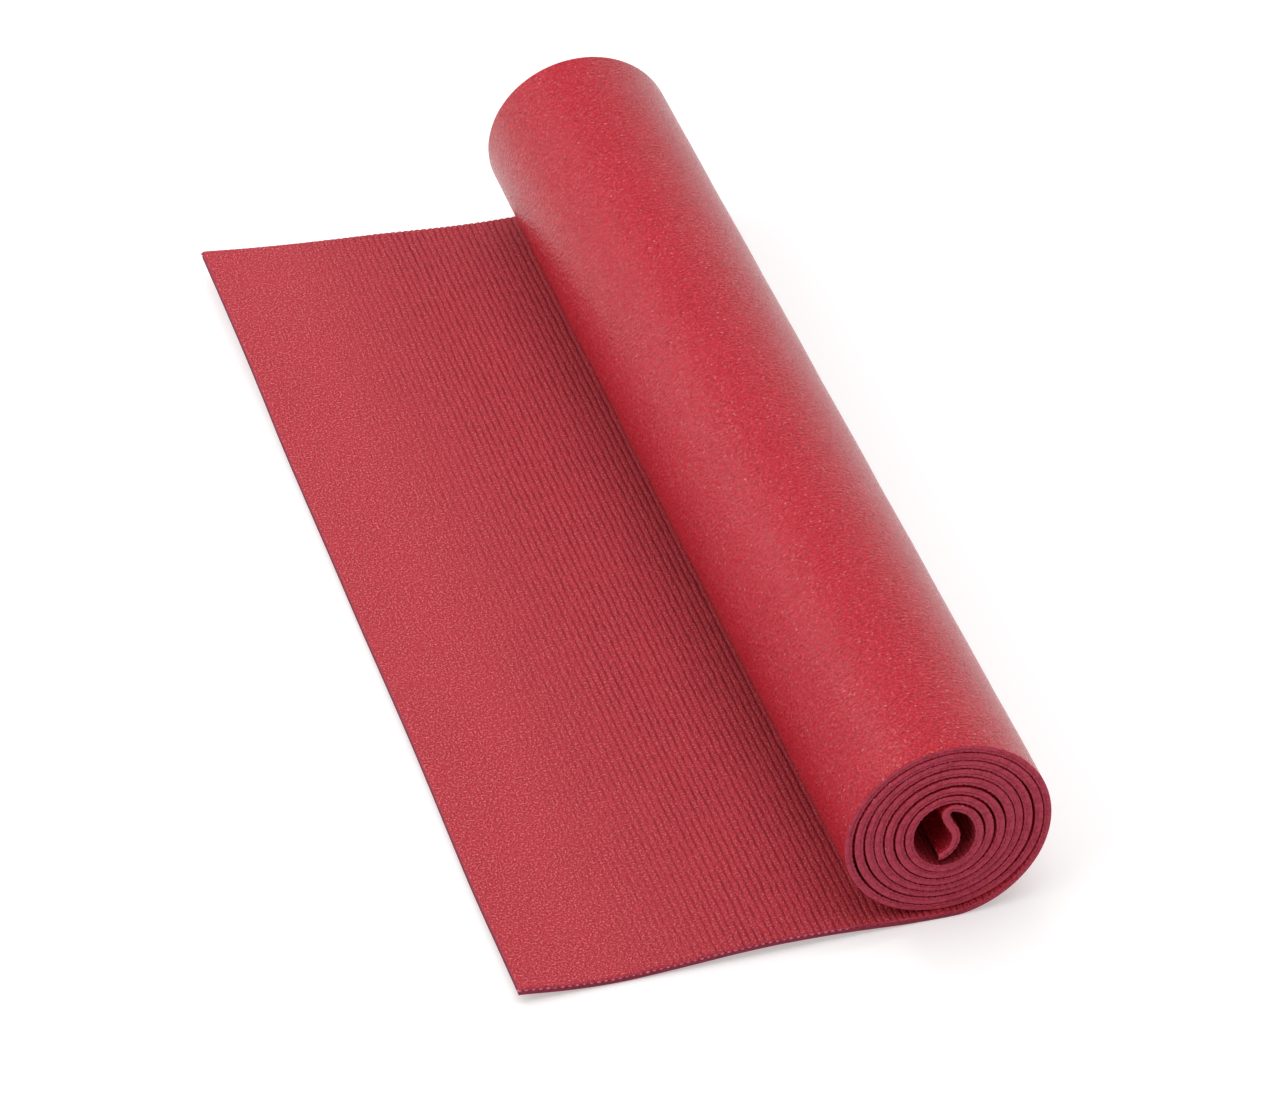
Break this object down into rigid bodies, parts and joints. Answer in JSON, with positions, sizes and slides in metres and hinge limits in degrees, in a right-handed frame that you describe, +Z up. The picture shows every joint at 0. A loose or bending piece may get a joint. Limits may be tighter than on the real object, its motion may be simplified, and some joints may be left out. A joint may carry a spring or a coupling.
{
  "type": "yoga mat",
  "caption": "Partly unrolled foam exercise mat: a laminated sheet with a mesh core, wound into a roll, with a flap that lifts in a curve.",
  "frame": {"origin": "on the floor under the roll's centre, half way along the mat's width", "axes": "+X across the roll, away from the flap; +Y along the roll's axis, from the near end to the far end; +Z up"},
  "size_m": [0.262, 0.61, 0.104],
  "materials": {
    "base_foam": "satin, pebbled",
    "scrim": "matte",
    "top_foam": "matte, finely ribbed"
  },
  "bodies": {
    "roll": {"roll_base_foam": "base_foam", "roll_scrim": "scrim", "roll_top_foam": "top_foam"},
    "tail": {"tail_base_foam": "base_foam", "tail_scrim": "scrim", "tail_top_foam": "top_foam"},
    "near_flap": {"near_flap_base_foam": "base_foam", "near_flap_scrim": "scrim", "near_flap_top_foam": "top_foam"},
    "middle_flap": {"middle_flap_base_foam": "base_foam", "middle_flap_scrim": "scrim", "middle_flap_top_foam": "top_foam"},
    "free_edge": {"free_edge_base_foam": "base_foam", "free_edge_scrim": "scrim", "free_edge_top_foam": "top_foam"}
  },
  "joints": [
    {"name": "near_flap_bend", "type": "hinge", "parent": "roll", "child": "near_flap", "pos_m": [-0.05967, 0, 0.00679], "axis": [0, 1, 0], "range_deg": [0, 40]},
    {"name": "middle_flap_bend", "type": "hinge", "parent": "near_flap", "child": "middle_flap", "pos_m": [-0.10832, 0, 0.00694], "axis": [0, 1, 0], "range_deg": [0, 40]},
    {"name": "free_edge_bend", "type": "hinge", "parent": "middle_flap", "child": "free_edge", "pos_m": [-0.15771, 0, 0.00507], "axis": [0, 1, 0], "range_deg": [0, 60]},
    {"name": "tail_flex", "type": "hinge", "parent": "roll", "child": "tail", "pos_m": [0.00295, 0, 0.06228], "axis": [0, 1, 0], "range_deg": [-18, 6], "stiffness_Nm_per_rad": 0.05}
  ]
}
